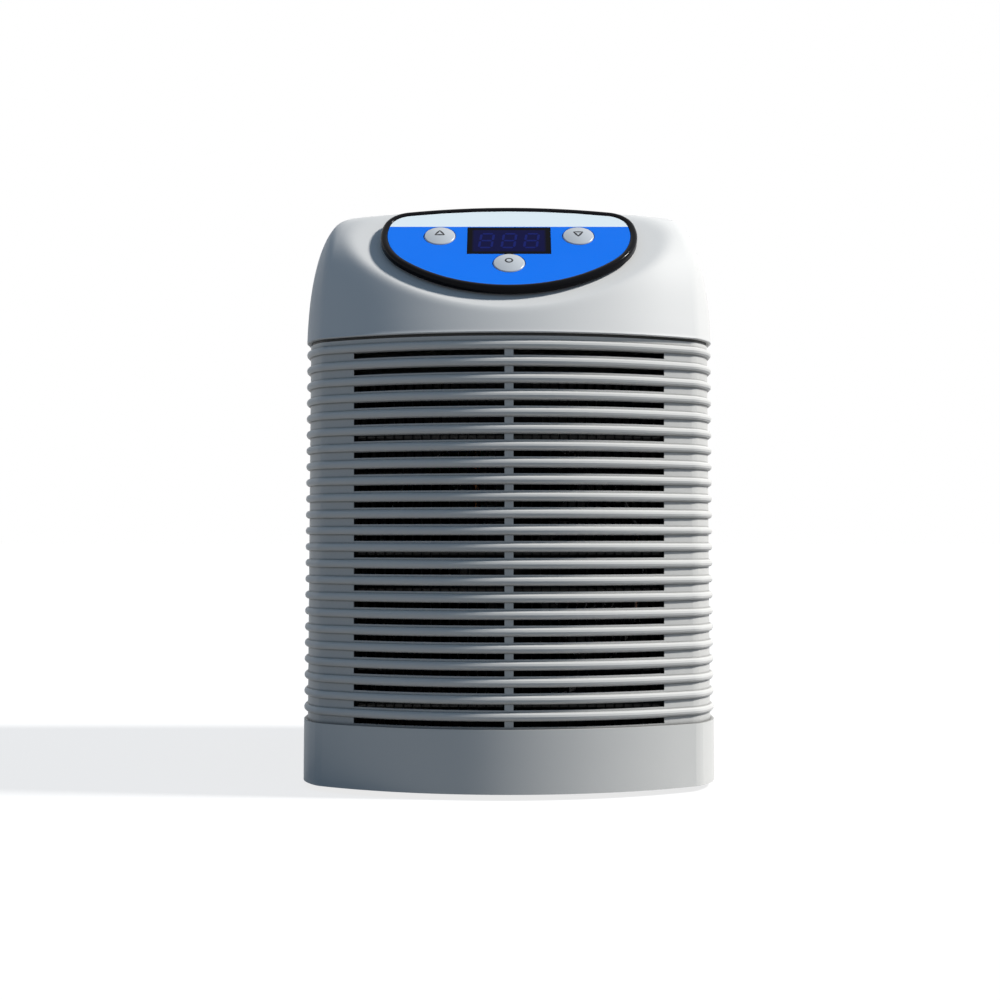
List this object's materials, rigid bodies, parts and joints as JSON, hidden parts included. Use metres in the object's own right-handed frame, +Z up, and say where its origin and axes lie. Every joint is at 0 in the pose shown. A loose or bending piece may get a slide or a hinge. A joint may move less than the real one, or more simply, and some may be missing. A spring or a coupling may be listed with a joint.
{
  "type": "aquarium chiller",
  "caption": "Free-standing aquarium chiller: ribbed louvre housing, domed cover with a sloping key panel, fan-cooled condenser, compressor and coil vessel.",
  "frame": {"origin": "on the floor, under the middle of the whole object's box", "axes": "+Z up, the front with the key panel faces -Y, +X is to the right seen from the front"},
  "size_m": [0.22, 0.365, 0.3086],
  "materials": {
    "housing_plastic": "fine moulded grain",
    "cover_plastic": "fine moulded grain, satin",
    "black_gloss": "polished",
    "black_plastic": "moulded, matt",
    "blue_film": "printed film, satin",
    "smoked_window": "smoked, polished",
    "key_plastic": "satin silver-grey",
    "rubber": "matt",
    "zinc_steel": "zinc plated",
    "aluminium": "mill finish",
    "black_fins": "black coated aluminium sheet",
    "copper": "drawn copper tube",
    "titanium": "drawn tube",
    "black_steel": "black enamel",
    "vessel_plastic": "natural moulded",
    "circuit_board": "solder mask",
    "relay_plastic": "moulded",
    "laminated_steel": "varnished laminations"
  },
  "bodies": {
    "cabinet": {"front_housing": "housing_plastic", "rear_panel": "housing_plastic", "top_cover": "cover_plastic", "base_tray": "black_plastic", "feet": "rubber", "housing_screws": "zinc_steel", "panel_bezel": "black_gloss", "panel_plate": "black_plastic", "panel_overlay": "blue_film", "display_window": "smoked_window", "display_module": "black_plastic", "key_switches": "black_plastic", "panel_board": "circuit_board", "panel_screws": "zinc_steel", "condenser_fins": "black_fins", "condenser_tubes": "black_steel", "condenser_end_plates": "black_fins", "fan_shroud": "black_plastic", "motor_bracket": "black_steel", "fan_motor": "aluminium", "compressor": "black_steel", "compressor_base": "black_steel", "compressor_grommets": "rubber", "compressor_studs": "zinc_steel", "terminal_cover": "black_plastic", "exchanger_vessel": "vessel_plastic", "exchanger_lid": "black_plastic", "lid_seal": "rubber", "lid_screws": "zinc_steel", "titanium_coil": "titanium", "water_inlet_port": "black_plastic", "water_outlet_port": "black_plastic", "port_seals": "rubber", "port_nuts": "black_plastic", "filter_drier": "copper", "drier_clip": "zinc_steel", "capillary_tube": "copper", "discharge_line": "copper", "liquid_line": "copper", "suction_line": "copper", "temperature_probe": "zinc_steel", "power_inlet": "black_plastic", "inlet_pins": "zinc_steel", "control_board": "circuit_board", "transformer": "laminated_steel", "relay": "relay_plastic", "board_screws": "zinc_steel"},
    "fan": {"fan_rotor": "black_plastic", "fan_shaft": "zinc_steel", "fan_nut": "zinc_steel"},
    "up_key_body": {"up_key": "key_plastic"},
    "down_key_body": {"down_key": "key_plastic"},
    "set_key_body": {"set_key": "key_plastic"}
  },
  "joints": [
    {"name": "fan_spin", "type": "hinge", "parent": "cabinet", "child": "fan", "pos_m": [0, -0.1095, 0.114], "axis": [0, 1, 0], "continuous": true},
    {"name": "up_key_press", "type": "slide", "parent": "cabinet", "child": "up_key_body", "axis": [0, 0.6756, -0.7373], "range_m": [0, 0.0008], "stiffness_N_per_m": 1500},
    {"name": "down_key_press", "type": "slide", "parent": "cabinet", "child": "down_key_body", "axis": [0, 0.6756, -0.7373], "range_m": [0, 0.0008], "stiffness_N_per_m": 1500},
    {"name": "set_key_press", "type": "slide", "parent": "cabinet", "child": "set_key_body", "axis": [0, 0.6756, -0.7373], "range_m": [0, 0.0008], "stiffness_N_per_m": 1500}
  ]
}
